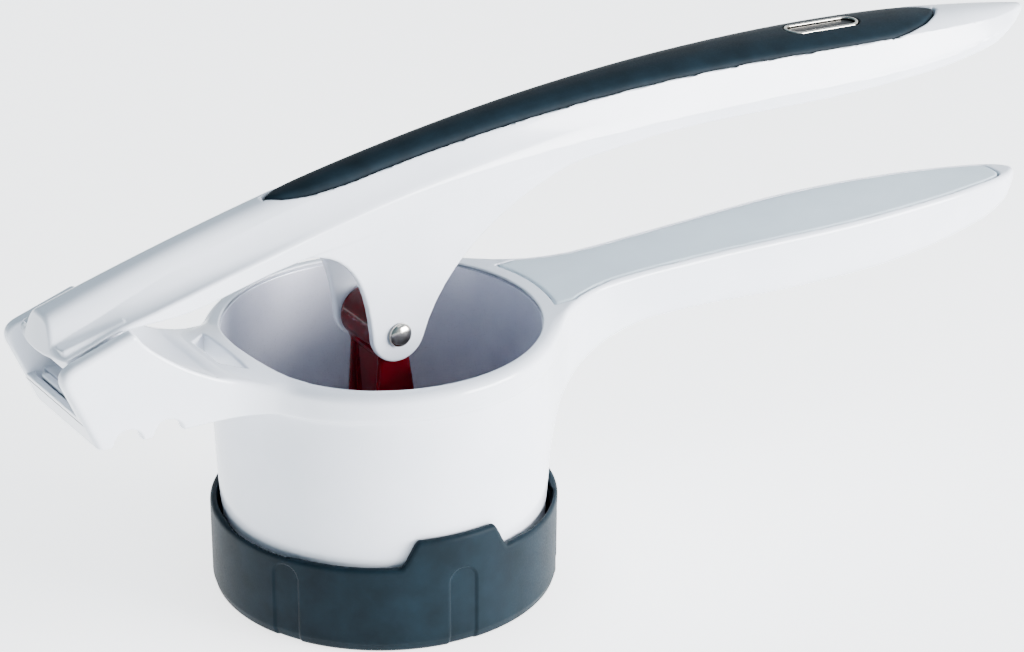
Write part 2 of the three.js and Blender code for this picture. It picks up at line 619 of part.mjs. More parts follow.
// The raised thumb tab: the ring's wall carried up between two sloping feet.
function thumbTab() {
  const [inner, outer] = [RING_INNER_R, RING_OUTER_R];
  const offsets = [-20, -18.5, -16.5, -14.5, -13, -8, 0, 8, 13, 14.5, 16.5, 18.5, 20];
  return loft(offsets.map((offset) => {
    const rise = THREE.MathUtils.smoothstep(20 - Math.abs(offset), 0, 7);
    const top = RING_TOP_Z - 0.5 + (TAB_TOP_Z - RING_TOP_Z + 0.5) * rise;
    const [c, s] = [Math.cos(rad(TAB_ANGLE + offset)), Math.sin(rad(TAB_ANGLE + offset))];
    const section = [[inner, RING_TOP_Z - 4], [outer, RING_TOP_Z - 4], [outer, top - 0.9],
      [outer - 0.9, top], [inner + 0.6, top], [inner, top - 0.6]];
    return section.map(([r, z]) => [r * c, r * s, z]);
  }));
}

// A shallow recess with a round top, let into the ring's outside.
function archRecess(angle) {
  const shape = new THREE.Shape();
  shape.moveTo(-3.8, -1);
  shape.lineTo(-3.8, 18.3);
  shape.absarc(0, 18.3, 3.8, Math.PI, 0, true);
  shape.lineTo(3.8, -1);
  return sideways(shape, -50, -RING_OUTER_R + 0.45, 6).rotate([0, 0, angle + 90]);
}

// A helical groove for one lug: from the lug's seat it climbs and opens at the ring's top.
function lugGroove(angle) {
  const clearance = 0.5;
  const lead = TWIST_DROP / TWIST;
  const half = LUG_WIDTH / 2 + 1;
  const [inner, outer] = [RING_INNER_R - 1.5, LUG_R + 0.45];
  const angles = steps(half, -half - TWIST - 6, 12);
  return loft(angles.map((turn) => {
    const climb = lead * Math.max(0, -turn);
    const low = LUG_Z - clearance + Math.max(0, climb - lead * half);
    const high = LUG_Z + LUG_HEIGHT + clearance + climb + lead * half;
    const [c, s] = [Math.cos(rad(angle + turn)), Math.sin(rad(angle + turn))];
    return [[inner, low], [outer, low], [outer, high], [inner, high]].map(([r, z]) => [r * c, r * s, z]);
  }));
}

function lockRing() {
  const ring = turned([[RING_FLANGE_R, 0], [RING_FLANGE_R, RING_FLANGE_Z], [RING_INNER_R, RING_FLANGE_Z],
    [RING_INNER_R, RING_TOP_Z - 0.6], [RING_INNER_R + 0.6, RING_TOP_Z], [RING_OUTER_R - 0.9, RING_TOP_Z],
    [RING_OUTER_R, RING_TOP_Z - 0.9], [RING_OUTER_R - 0.2, 3], [RING_OUTER_R - 0.8, 1], [43.9, 0],
    [RING_FLANGE_R, 0]]);
  const arches = steps(0, 360, ARCH_COUNT).slice(0, -1).map((turn) => archRecess(ARCH_ANGLE + turn));
  return cut(join(ring, thumbTab()), ...arches, ...lugAngles.map(lugGroove));
}

function ricingDisc() {
  const plate = turned([[0, DISC_Z], [DISC_R, DISC_Z], [DISC_R, DISC_Z + DISC_THICK], [0, DISC_Z + DISC_THICK]]);
  const holes = [];
  const rows = Math.floor(34 / (DISC_HOLE_STEP * 0.866));
  for (let row = -rows; row <= rows; row++) {
    for (let column = -6; column <= 6; column++) {
      const x = (column + Math.abs(row % 2) / 2) * DISC_HOLE_STEP;
      const y = row * DISC_HOLE_STEP * 0.866;
      if (Math.hypot(x, y) > 34) continue;
      const punch = new THREE.CylinderGeometry(DISC_HOLE_R, DISC_HOLE_R, 8, 6);
      holes.push(solid(punch.rotateX(Math.PI / 2).translate(x, y, DISC_Z)));
    }
  }
  return cut(plate, join(...holes));
}

// ---- Materials and assembly ----

const look = (color, roughness, metalness = 0) => new THREE.MeshStandardMaterial({ color, roughness, metalness });
const glossWhite = look(0xeef1f6, 0.22);
const satinWhite = look(0xcdd9df, 0.4);
const darkSlate = look(0x2c4450, 0.5);
const softSlate = look(0x243a46, 0.65);
const clearRed = look(0x8e0410, 0.15);
const steel = look(0xb9b4aa, 0.18, 1);
const brushedSteel = look(0xc4c7ca, 0.35, 1);
const chrome = look(0xd9d9d6, 0.12, 1);
const blackPlate = look(0x101214, 0.3);

function piece(name, body, material) {
  const mesh = body.getMesh();
  const geometry = new THREE.BufferGeometry();
  geometry.setAttribute('position', new THREE.BufferAttribute(mesh.vertProperties, 3));
  geometry.setIndex(new THREE.BufferAttribute(mesh.triVerts, 1));
  geometry.computeVertexNormals();
  const result = new THREE.Mesh(geometry, material);
  result.name = name;
  return result;
}

const press = new THREE.Group();
press.position.x = CHAMBER_X;
press.add(
  piece('chamber_body', chamberBody(), glossWhite),
  piece('chamber_liner', chamberLiner(), brushedSteel),
  piece('lower_handle_cover', lowerHandleCover(), satinWhite),
  piece('hinge_retainer', hingeRetainer(), satinWhite),
  piece('hinge_pin', hingePin(), steel),
  piece('upper_handle', upperHandle(), glossWhite),
  piece('soft_grip', softGrip(), softSlate),
  piece('badge_bezel', badgeBezel(), chrome),
  piece('badge_plate', badgePlate(), blackPlate),
  piece('plunger', plunger(), clearRed),
  piece('plunger_pin', plungerPin(), steel),
  piece('plunger_pin_cap', plungerPinCap(), steel),
  piece('lock_ring', lockRing(), darkSlate),
  piece('ricing_disc', ricingDisc(), brushedSteel),
);

const ricer = new THREE.Group();
ricer.add(press);
export default ricer;
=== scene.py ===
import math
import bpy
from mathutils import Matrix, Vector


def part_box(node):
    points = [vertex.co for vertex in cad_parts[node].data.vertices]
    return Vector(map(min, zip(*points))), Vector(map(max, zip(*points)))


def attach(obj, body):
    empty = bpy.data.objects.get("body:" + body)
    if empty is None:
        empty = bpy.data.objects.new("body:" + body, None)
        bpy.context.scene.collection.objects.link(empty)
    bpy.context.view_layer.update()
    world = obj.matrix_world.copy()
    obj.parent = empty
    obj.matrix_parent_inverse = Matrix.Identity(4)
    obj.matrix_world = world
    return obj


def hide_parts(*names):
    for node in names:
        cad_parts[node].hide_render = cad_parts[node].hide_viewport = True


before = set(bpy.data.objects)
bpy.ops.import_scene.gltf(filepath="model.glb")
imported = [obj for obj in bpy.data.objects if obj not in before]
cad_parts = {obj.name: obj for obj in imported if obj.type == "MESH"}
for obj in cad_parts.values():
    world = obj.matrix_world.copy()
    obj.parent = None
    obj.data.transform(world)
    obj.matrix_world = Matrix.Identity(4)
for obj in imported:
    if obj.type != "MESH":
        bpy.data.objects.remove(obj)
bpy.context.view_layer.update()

# Potato ricer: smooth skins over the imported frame, materials, floor, light and camera.
# Shapes are worked out in millimetres from the chamber's own axis, then moved to the frame.
from concurrent.futures import ThreadPoolExecutor

import bpy
import numpy as np
from mathutils import Vector

MM = 0.001
RING_LOW, RING_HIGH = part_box("lock_ring")
CHAMBER_X = (RING_LOW[0] + RING_HIGH[0]) / 2 / MM

# ---- Driving dimensions, as in the CAD ----
GAP = 0.3
RIM_Z, RIM_R, BAND_Z = 72.3, 45.3, 65.2
CHAMBER_BOTTOM_Z = 4.6
END_TOP_X, END_TOP_Z, END_LEAN = -97.2, 84.0, 0.44
HINGE_X, HINGE_Z = -86.0, 86.5
PIN_X, PIN_Z = -0.9, 72.8
CHEEK_INNER_Y = 13.9
CRADLE_FLOOR_Z, CRADLE_END_X = 75.4, -77.5
NOTCH_X, NOTCH_R = (-81.0, -70.0), 4.0
RETAINER_LOW_Z, RETAINER_TOP_Z = 67.0, 76.0
UPPER_TIP_X, LOWER_TIP_X = 205.0, 205.2
WALL = 2.4
GRIP_THICK = 2.0
BADGE_X, BADGE_LENGTH, BADGE_WIDTH = 136.4, 23.0, 7.0
RING_R, RING_INNER_R, RING_TOP_Z, TAB_TOP_Z = 45.5, 43.6, 24.1, 31.4
TAB_ANGLE, ARCH_ANGLE, LUG_ANGLE = -95.0, -93.6, -122.5
LUG_Z, LUG_HEIGHT, TWIST, TWIST_DROP = 17.4, 2.0, 60.0, 7.2
PLATE_Z, PLATE_X, PLATE_R = 4.4, -2.9, 35.3

CELL = 0.5       # size of a skin's faces, in millimetres


# ---- Fields: negative inside, about a distance in millimetres ----

def smax(a, b, k):
    h = np.clip(0.5 + (a - b) / (2 * k), 0, 1)
    return b + (a - b) * h + k * h * (1 - h)


def smin(a, b, k):
    return -smax(-a, -b, k)


def most(*fields):
    """Where all the fields overlap, with sharp edges."""
    whole = fields[0]
    for field in fields[1:]:
        whole = np.maximum(whole, field)
    return whole


def carve(whole, hole, k=0.6):
    return smax(whole, -hole, k)


def along(*points):
    """A smooth curve of value against X through a few chosen points."""
    xs, vs = np.array(points, float).T
    last = len(xs) - 1
    near, far = np.maximum(np.arange(last + 1) - 1, 0), np.minimum(np.arange(last + 1) + 1, last)
    slopes = (vs[far] - vs[near]) / (xs[far] - xs[near])

    def value(x):
        i = np.clip(np.searchsorted(xs, x, side="right") - 1, 0, last - 1)
        run = xs[i + 1] - xs[i]
        t = np.clip((x - xs[i]) / run, 0, 1)
        s = 1 - t
        return (s * s * (1 + 2 * t) * vs[i] + t * s * s * run * slopes[i]
                + t * t * (3 - 2 * t) * vs[i + 1] - t * t * s * run * slopes[i + 1])
    return value


def steep(curve, x):
    """Length of the curve's normal vector, which turns a height above it into a distance."""
    return np.sqrt(1 + (5 * (curve(x + 0.1) - curve(x - 0.1))) ** 2)


def smooth(t):
    t = np.clip(t, 0, 1)
    return t * t * (3 - 2 * t)


def outline(points):
    """Distance to a closed outline of straight pieces."""
    ends = np.array(points, float)

    def distance(u, v):
        nearest = np.full(u.shape, 1e9)
        inside = np.zeros(u.shape, bool)
        for (au, av), (bu, bv) in zip(ends, np.roll(ends, -1, axis=0)):
            eu, ev = bu - au, bv - av
            wu, wv = u - au, v - av
            t = np.clip((wu * eu + wv * ev) / (eu * eu + ev * ev), 0, 1)
            nearest = np.minimum(nearest, (wu - eu * t) ** 2 + (wv - ev * t) ** 2)
            crosses = (av > v) != (bv > v)
            if bv != av:
                inside ^= crosses & (wu < eu * wv / ev)
        return np.where(inside, -1, 1) * np.sqrt(nearest)
    return distance


def bezier(p0, p1, p2, p3, steps=12):
    t = np.linspace(0, 1, steps + 1)[:, None]
    p0, p1, p2, p3 = (np.array(p, float) for p in (p0, p1, p2, p3))
    return list((1 - t) ** 3 * p0 + 3 * t * (1 - t) ** 2 * p1 + 3 * t * t * (1 - t) * p2 + t ** 3 * p3)


def arc(x, z, radius, start, stop, steps=16):
    angles = np.radians(np.linspace(start, stop, steps + 1))
    return [(x + radius * math.cos(a), z + radius * math.sin(a)) for a in angles]


# ---- Skins: a field's surface as one even mesh ----

POOL = ThreadPoolExecutor(4)
CHUNK = 60000


def evaluate(field, points):
    pieces = [points[i:i + CHUNK] for i in range(0, len(points), CHUNK)]
    return np.concatenate(list(POOL.map(lambda p: field(p[:, 0], p[:, 1], p[:, 2]), pieces)))


def gradient(field, points, step):
    slopes = []
    for axis in range(3):
        shift = np.zeros(3)
        shift[axis] = step
        slopes.append((evaluate(field, points + shift) - evaluate(field, points - shift)) / (2 * step))
    return np.stack(slopes, axis=1)


def sample(field, low, count, cell, block):
    """Values on a grid, worked out finely only in the blocks that the surface may pass through."""
    blocks = np.array(np.meshgrid(*[np.arange(n) for n in count], indexing="ij")).reshape(3, -1).T
    coarse = evaluate(field, low + (blocks + 0.5) * block * cell).reshape(count)
    reach = block * cell * 1.25 + 1
    fill = lambda a: a.repeat(block, 0).repeat(block, 1).repeat(block, 2)
    size = [n * block for n in count]
    values = np.full([n + 1 for n in size], reach, np.float32)
    values[:-1, :-1, :-1] = fill(coarse.astype(np.float32))
    wanted = np.zeros(values.shape, bool)
    active = fill(np.abs(coarse) < reach)
    for i in (0, 1):
        for j in (0, 1):
            for k in (0, 1):
                wanted[i:i + size[0], j:j + size[1], k:k + size[2]] |= active
    where = np.argwhere(wanted)
    values[wanted] = evaluate(field, low + where * cell)
    return values


def surface_net(values):
    """One vertex in each cell that the surface passes through, one four-sided face per crossed edge."""
    inside = values < 0
    shape = np.array(values.shape)
    strides = np.array([shape[1] * shape[2], shape[2], 1])
    faces, crossings = [], []
    for axis in range(3):
        lower = tuple(slice(None, -1) if n == axis else slice(None) for n in range(3))
        upper = tuple(slice(1, None) if n == axis else slice(None) for n in range(3))
        edge = np.argwhere(inside[lower] != inside[upper])
        first = edge @ strides
        a, b = values.ravel()[first], values.ravel()[first + strides[axis]]
        point = edge.astype(float)
        point[:, axis] += a / (a - b)
        u, v = strides[(axis + 1) % 3], strides[(axis + 2) % 3]
        ring = np.stack([first - u - v, first - v, first, first - u], axis=1)
        ring[a > 0] = ring[a > 0][:, ::-1]
        faces.append(ring)
        crossings.append(point)
    faces, crossings = np.concatenate(faces), np.concatenate(crossings)
    cells, index = np.unique(faces.ravel(), return_inverse=True)
    index = index.ravel()
    share = np.bincount(index)
    middle = [np.bincount(index, weights=np.repeat(crossings[:, n], 4)) / share for n in range(3)]
    return np.stack(middle, axis=1), index.reshape(-1, 4)


def make_mesh(name, points, faces, normals=None):
    """Millimetres from the chamber's axis become metres in the frame."""
    mesh = bpy.data.meshes.new(name)
    mesh.vertices.add(len(points))
    mesh.vertices.foreach_set("co", ((points + [CHAMBER_X, 0, 0]) * MM).astype(np.float32).ravel())
    mesh.loops.add(faces.size)
    mesh.loops.foreach_set("vertex_index", faces.astype(np.int32).ravel())
    mesh.polygons.add(len(faces))
    mesh.polygons.foreach_set("loop_start", np.arange(0, faces.size, 4, dtype=np.int32))
    mesh.polygons.foreach_set("use_smooth", np.ones(len(faces), bool))
    mesh.update(calc_edges=True)
    if normals is not None:
        mesh.normals_split_custom_set_from_vertices(normals.astype(np.float32).tolist())
    obj = bpy.data.objects.new(name, mesh)
    bpy.context.scene.collection.objects.link(obj)
    return obj


def skin(name, field, low, high, cell=None):
    cell = CELL if cell is None else (cell)
    block = 8
    low = np.array(low, float) - 1.5 * cell
    count = [max(1, math.ceil((h - l + 1.5 * cell) / (block * cell))) for l, h in zip(low, high)]
    points, faces = surface_net(sample(field, low, count, cell, block))
    points = low + points * cell
    for _ in range(2):
        slopes = gradient(field, points, 0.03)
        step = slopes * (evaluate(field, points) / np.maximum((slopes ** 2).sum(1), 0.05))[:, None]
        length = np.linalg.norm(step, axis=1, keepdims=True)
        points = points - step * np.minimum(1, 0.5 * cell / np.maximum(length, 1e-9))
    normals = gradient(field, points, 0.12)
    normals /= np.maximum(np.linalg.norm(normals, axis=1, keepdims=True), 1e-9)
    return make_mesh(name, points, faces, normals)


def rounded(profile, radius, steps=4):
    """The profile with its inner corners turned into small arcs."""
    points = [np.array(p, float) for p in profile]
    result = [points[0]]
    for before, corner, after in zip(points, points[1:], points[2:]):
        reach = min(radius, np.linalg.norm(before - corner) / 2.2, np.linalg.norm(after - corner) / 2.2)
        a = corner + (before - corner) / np.linalg.norm(before - corner) * reach
        b = corner + (after - corner) / np.linalg.norm(after - corner) * reach
        for t in np.linspace(0, 1, steps + 1):
            result.append((1 - t) ** 2 * a + 2 * t * (1 - t) * corner + t * t * b)
    return result + [points[-1]]


def lathe(name, profile, centre=(0, 0, 0), about_y=False, steps=160):
    """A profile of (radius, distance along the axis), closed on itself or ending on the axis."""
    rows = np.array(profile, float)
    closed = rows[0][0] > 1e-6
    rows[:, 0] = np.maximum(rows[:, 0], 1e-3)
    angle = np.linspace(0, 2 * math.pi, steps, endpoint=False)
    flat = rows[:, None, 0] * np.cos(angle), rows[:, None, 0] * np.sin(angle)
    height = np.broadcast_to(rows[:, None, 1], flat[0].shape)
    axes = (flat[0], height, flat[1]) if about_y else (flat[0], flat[1], height)
    points = np.stack(axes, axis=-1).reshape(-1, 3) + centre
    n = len(rows)
    i, j = np.meshgrid(np.arange(n if closed else n - 1), np.arange(steps), indexing="ij")
    k, m = (i + 1) % n, (j + 1) % steps
    faces = np.stack([i * steps + j, i * steps + m, k * steps + m, k * steps + j], axis=-1).reshape(-1, 4)
    if not closed:
        for row in (0, n - 1):
            hub = len(points)
            points = np.vstack([points, points[row * steps:(row + 1) * steps].mean(0)])
            rim = row * steps + np.arange(0, steps, 2)
            nxt, over = rim + 1, row * steps + (np.arange(0, steps, 2) + 2) % steps
            fan = np.stack([rim, np.full_like(rim, hub), over, nxt], axis=1)
            faces = np.vstack([faces, fan if row == 0 else fan[:, ::-1]])
    a, b, c, d = (points[faces[:, n]] for n in range(4))
    volume = (np.einsum("ij,ij->i", a, np.cross(b, c)) + np.einsum("ij,ij->i", a, np.cross(c, d))).sum()
    return make_mesh(name, points, faces if volume > 0 else faces[:, ::-1])


# ---- Chamber body ----

LOWER_TOP_APEX = (110.0, 73.4, 1950.0)
lower_half = along((30, 30), (38, 24.5), (45, 19.4), (53, 14.8), (65, 11.9), (95, 12.3),
                   (138, 14.2), (170, 11.8), (190, 8), (200, 4.8), (LOWER_TIP_X, 1))
lower_depth = along((30, 44), (38, 39), (45, 32.5), (53, 25.6), (65, 19.8), (80, 17.2), (125, 19),
                    (160, 18.2), (190, 13.4), (200, 9), (LOWER_TIP_X, 3))
wall_radius = along((4, 42.3), (20, 42.3), (29, 43), (45, 43.8), (62, 44.1), (68, 44.6), (73, 44.8))
bracket_half = along((-100, 17.8), (-60, 17.8), (-51, 18.5), (-44, 21), (-38, 25.1), (-33, 29.9), (-28, 33.6),
                     (-20, 36.5))
sweep_top = along((-79, 97.5), (-75.8, 91.9), (-71, 87.2), (-63.6, 81.7), (-53.4, 76.4), (-40, 72.4), (-36, 72.3))
deck_edge = along((-78, 95.5), (-75.8, 91.4), (-69.5, 85.6), (-59.3, 78.7), (-50, 74.8), (-40, 72.4),
                  (-36, RIM_Z), (-10, RIM_Z))
deck_middle = along((-78, 86), (-70, 80.8), (-60, 77), (-50, 75.7), (-45, 75.4), (-41.2, 75), (-36, 74),
                    (-30, 73.3), (-24, 72.7), (-18, RIM_Z), (-10, RIM_Z))


def lower_top(x):
    apex_x, apex_z, radius = LOWER_TOP_APEX
    return apex_z - (x - apex_x) ** 2 / (2 * radius)


def lean(z):
    """X of the bracket's end face at a height."""
    return END_TOP_X + END_LEAN * (END_TOP_Z - z)


def cover_plan(x, y):
    """A fishtail end round the rim, then the handle's outline drawn in."""
    side = np.abs(y) - np.minimum(lower_half(x) - 2, 14.6)
    return smax(smax(side, 45.9 - np.hypot(x, y), 0.8), x - 198, 3)


def lower_handle(x, y, z):
    half, depth, power = lower_half(x), lower_depth(x) - 0.8, 3.2
    below = np.maximum(lower_top(x) - 0.8 - z, 0) / depth
    reach = ((np.abs(y) / half) ** power + below ** power) ** (1 / power)
    body = (reach - 1) * np.minimum(half, depth)
    return smax(smax(body, 30 - x, 1), x - LOWER_TIP_X + 0.2, 1.5)


def bracket(x, y, z):
    plan = (np.abs(y) - bracket_half(x)) / steep(bracket_half, x)
    rise = (z - 93.9 - 0.322 * (x + 79.4)) / 1.05
    corner = smax((lean(z) - x) / 1.09, rise, 5)
    body = smax(smax(plan, corner, 1.9), BAND_Z - z, 1.2)
    return smax(body, x + 20, 1)


def deck_top(x, y):
    """A valley between the cheeks that turns into a low crown where it meets the rim."""
    share = np.minimum(np.abs(y) / (bracket_half(x) - 0.9), 1) ** 2.4
    return deck_middle(x) + (deck_edge(x) - deck_middle(x)) * share


def deck_space(x, y, z):
    """The valley fades out over the crown, which is cut by the body's own top."""
    def floor(px, py):
        return deck_top(px, py) + 0.15 * np.maximum(0, px + 56)
    sx = (floor(x + 0.1, y) - floor(x - 0.1, y)) * 5
    sy = (floor(x, y + 0.1) - floor(x, y - 0.1)) * 5
    above = (floor(x, y) - z) / np.sqrt(1 + sx * sx + sy * sy)
    return most(above, CRADLE_END_X - x, np.abs(y) - 16.9, x + 38)


def bracket_spaces(body, x, y, z):
    side = np.abs(y)
    body = carve(body, deck_space(x, y, z), 0.8)
    floor = np.where(x < -90.4, END_TOP_Z - 9.3, CRADLE_FLOOR_Z)
    body = carve(body, most(side - CHEEK_INNER_Y, x - CRADLE_END_X, floor - z), 0.8)
    ceiling = np.interp(x, (-87.2, -79.5, -72, -66, -57, -48, -40), (73, 73, 79, 75.4, 71.4, 69.6, 69.4))
    room = most(side - 14.6, z - ceiling, -87.2 - x, x + 20, 45 - np.hypot(x, y))
    body = carve(body, room, 0.8)
    for notch in NOTCH_X:
        body = carve(body, np.hypot(x - notch, z - BAND_Z) - NOTCH_R, 0.7)
    behind = x - lean(z)
    slot = most(side - 13.7, 2.2 - behind, behind - 5.0, RETAINER_LOW_Z - GAP - z, z - 80)
    body = carve(body, slot, 0.5)
    vent = most(np.abs(x + 47.75) - 2.55, side - 10.6 - (x + 46.5) * 0.9, 60 - z)
    body = carve(body, vent, 0.7)
    from_hinge = np.hypot(x - HINGE_X, z - HINGE_Z)
    body = carve(body, most(from_hinge - 2.8, -16.6 - y), 0.4)
    return carve(body, most(from_hinge - 4.1, 16.3 - y), 0.4)


def lugs(x, y, z):
    radius = np.hypot(x, y)
    turn = (np.degrees(np.arctan2(y, x)) - LUG_ANGLE + 60) % 120 - 60
    return most(np.abs(np.radians(turn)) * radius - 2.6, radius - 44.1, 41.5 - radius,
                np.abs(z - LUG_Z - LUG_HEIGHT / 2) - LUG_HEIGHT / 2)


def chamber_body(x, y, z):
    radius = np.hypot(x, y)
    body = smin(radius - wall_radius(z), smax(radius - RIM_R, BAND_Z - z, 1.2), 1.6)
    if x.max() > 20:
        body = smin(body, lower_handle(x, y, z), 5)
    if x.min() < -12:
        body = smin(body, bracket(x, y, z), 2.5)
    top = np.where(x > 45, lower_top(x), sweep_top(x))
    slope = 1
    if x.min() < -14:
        top = np.maximum(top, np.where(x < -60, 0, deck_top(x, y)))
        slope = steep(sweep_top, x)
    body = smax(body, (z - top) / slope, 1.8 + 1.4 * smooth((48 - radius) / 4))
    body = smax(body, CHAMBER_BOTTOM_Z - z, 0.8)
    if x.max() > 40:
        seat = most(cover_plan(x, y) - 0.4, lower_top(x) - 2.3 - z, 36 - x)
        body = carve(body, seat, 0.45)
    if x.min() < -35:
        body = bracket_spaces(body, x, y, z)
    body = smin(body, lugs(x, y, z), 0.4)
    bore = np.interp(z, (5, 71.2, 71.7, 72.2, 85), (40.9, 42.1, 41.4, 41.4, 42))
    return carve(body, radius - bore, 0.45)


def lower_cover(x, y, z):
    depth = lower_top(x) - z
    return smax(smax(cover_plan(x, y), -depth, 0.8), depth - 2, 0.4)


def hinge_retainer(x, y, z):
    behind = x - lean(z)
    side = np.abs(y)
    plate = smax(np.abs(behind - 3.6) - 1.1, side - 13.4, 0.7)
    plate = smax(plate, np.abs(z - (RETAINER_LOW_Z + RETAINER_TOP_Z) / 2) - 4.5, 0.7)
    return smax(plate, (side + z - 86.8) / 1.414, 2)


# ---- Upper handle ----

tip_lift = along((100, 0), (140, 0.3), (174, 1.2), (UPPER_TIP_X, 1.8))
crest_half = along((-98, 7.2), (-80, 6.7), (-60, 6), (-30, 5.8), (10, 6.4), (60, 8), (100, 9.6), (140, 11),
                   (165, 9.8), (188, 6.6), (198, 3.9), (UPPER_TIP_X, 0.8))
crest_drop = along((-98, 6.2), (-80, 5.4), (-60, 4.1), (-30, 3), (140, 3), (188, 2.2), (UPPER_TIP_X, 0.3))
upper_half = along((-98, 13.3), (-75, 13.2), (-45, 11.9), (-20, 10.9), (30, 10.8), (80, 11.8), (135, 13.6),
                   (165, 12), (188, 8.2), (198, 5), (UPPER_TIP_X, 1))
crease = along((-98, 88.3), (-88.5, 91.2), (-80, 94.1), (-70, 96.2), (-40, 102.6), (5, 111.2), (50, 114.9),
               (110, 115.9), (165, 114.8), (190, 116.4), (UPPER_TIP_X, 119))
foot = along((-98, 87.3), (-88.5, 90.3), (-80, 93), (-60, 93.6), (-35, 98.4), (0, 102.6), (50, 108.4),
             (85, 111.3), (140, 110.9), (188, 112.4), (UPPER_TIP_X, 118.2))
hollow = along((-98, 2.6), (-70, 2.4), (-40, 1.8), (-10, 1.35), (30, 1.2), (UPPER_TIP_X, 1.15))
crest_power = along((-98, 3.6), (-70, 3), (-35, 2.5), (UPPER_TIP_X, 2.5))
grip_outline = along((-33, 0.5), (-29, 2.9), (-20, 4.6), (10, 6.1), (60, 7.9), (100, 9.4), (135, 10.9),
                  (152, 10.2), (165, 7), (171, 3.6), (174, 0.5))


def grip_half(x):
    return np.minimum(grip_outline(x), crest_half(x) - 0.8)


def crown(x):
    return 127.6 - (x - 97) ** 2 / 1210 + tip_lift(x)


def back(x, y):
    """Height of the upper handle's back: a round crest that runs down into a hollowed flank."""
    side, half, drop, low = np.abs(y), crest_half(x), crest_drop(x), crease(x)
    top = crown(x)
    crest = top - drop * (side / half) ** crest_power(x)
    out = np.clip((side - half) / np.maximum(upper_half(x) - half, 0.2), 0, 1)
    flank = low + (top - drop - low) * (1 - out) ** hollow(x)
    return np.where(side < half, crest, flank)


def above_back(x, y, z):
    """Distance above the back, and the back's height."""
    height = back(x, y)
    sx = (back(x + 0.1, y) - back(x - 0.1, y)) * 5
    sy = (back(x, y + 0.1) - back(x, y - 0.1)) * 5
    return (z - height) / np.sqrt(1 + sx * sx + sy * sy), height


ear_side = outline([(10, 107)] + bezier((-27, 99.4), (-12, 98.5), (-9.5, 84), (PIN_X - 7.7, PIN_Z))
                   + arc(PIN_X, PIN_Z, 7.7, 180, 342)[1:]
                   + bezier((PIN_X + 7.7 * math.cos(math.radians(342)), PIN_Z + 7.7 * math.sin(math.radians(342))),
                            (12, 88), (30, 104), (60, 110.4))[1:] + [(60, 112)])
knuckle_side = outline([(-92.6, 84.4), (-94.6, 91), (-77.6, 95)] + arc(HINGE_X, HINGE_Z, 6.5, 0, -110))


def channel(x, y, z):
    side, half = np.abs(y), upper_half(x) - WALL
    middle = np.minimum(crest_half(x) - 1.2, half - 1)
    ceiling = crown(x) - crest_drop(x) - WALL - GRIP_THICK
    shoulder = np.minimum(crease(x) - 1.2, ceiling - 0.5)
    share = np.clip((side - middle) / np.maximum(half - middle, 0.5), 0, 1)
    under = (z - ceiling - (shoulder - ceiling) * share) * 0.8
    return most(side - half, under, -66 - x, x - 190)


def upper_handle(x, y, z):
    side = np.abs(y)
    over, height = above_back(x, y, z)
    body = smax(over, (side - upper_half(x)) / steep(upper_half, x), 1.1)
    body = smax(body, (foot(x) - z) / steep(foot, x), 0.9)
    body = smax(body, x - UPPER_TIP_X + 0.2, 1.5)
    body = carve(body, channel(x, y, z), 0.8)
    if x.max() > -35 and x.min() < 68:
        ear = smax(ear_side(x, z), np.abs(side - 9.5) - 1.2, 0.9)
        body = smin(body, ear, 0.5)
        body = carve(body, np.hypot(x - PIN_X, z - PIN_Z) - 2.3, 0.4)
    if x.min() < -65:
        body = smin(body, smax(knuckle_side(x, z), side - 11.4, 0.9), 0.6)
        body = carve(body, np.hypot(x - HINGE_X, z - HINGE_Z) - 2.8, 0.4)
        nose = (-96.8 + 0.2 * (z - 88.5) + y * y / 80 - x) / 1.03
        body = smax(body, nose, 1)
    edge = (side - grip_half(x) - 0.35) / steep(grip_half, x)
    recess = most(edge, height - GRIP_THICK - GAP - z, -33.4 - x, x - 174.4)
    return carve(body, recess, 0.9)


def badge_plan(x, y):
    reach = (BADGE_LENGTH - BADGE_WIDTH) / 2
    return np.hypot(np.maximum(np.abs(x - BADGE_X) - reach, 0), y) - BADGE_WIDTH / 2


def soft_grip(x, y, z):
    over, height = above_back(x, y, z)
    body = smax(over, (np.abs(y) - grip_half(x)) / steep(grip_half, x), 1.4)
    body = smax(body, smax(-32.8 - x, x - 173.8, 0.5), 0.8)
    body = smax(body, height - GRIP_THICK - z, 0.4)
    return carve(body, badge_plan(x, y) - GAP, 0.4)


def badge_bezel(x, y, z):
    over, height = above_back(x, y, z)
    ring = np.abs(badge_plan(x, y) + 0.45) - 0.45
    return smax(smax(ring, over - 0.15, 0.5), height - 1.8 - z, 0.3)


def badge_plate(x, y, z):
    over, height = above_back(x, y, z)
    return smax(smax(badge_plan(x, y) + 1.15, over + 0.6, 0.5), height - 1.8 - z, 0.3)


# ---- Plunger ----

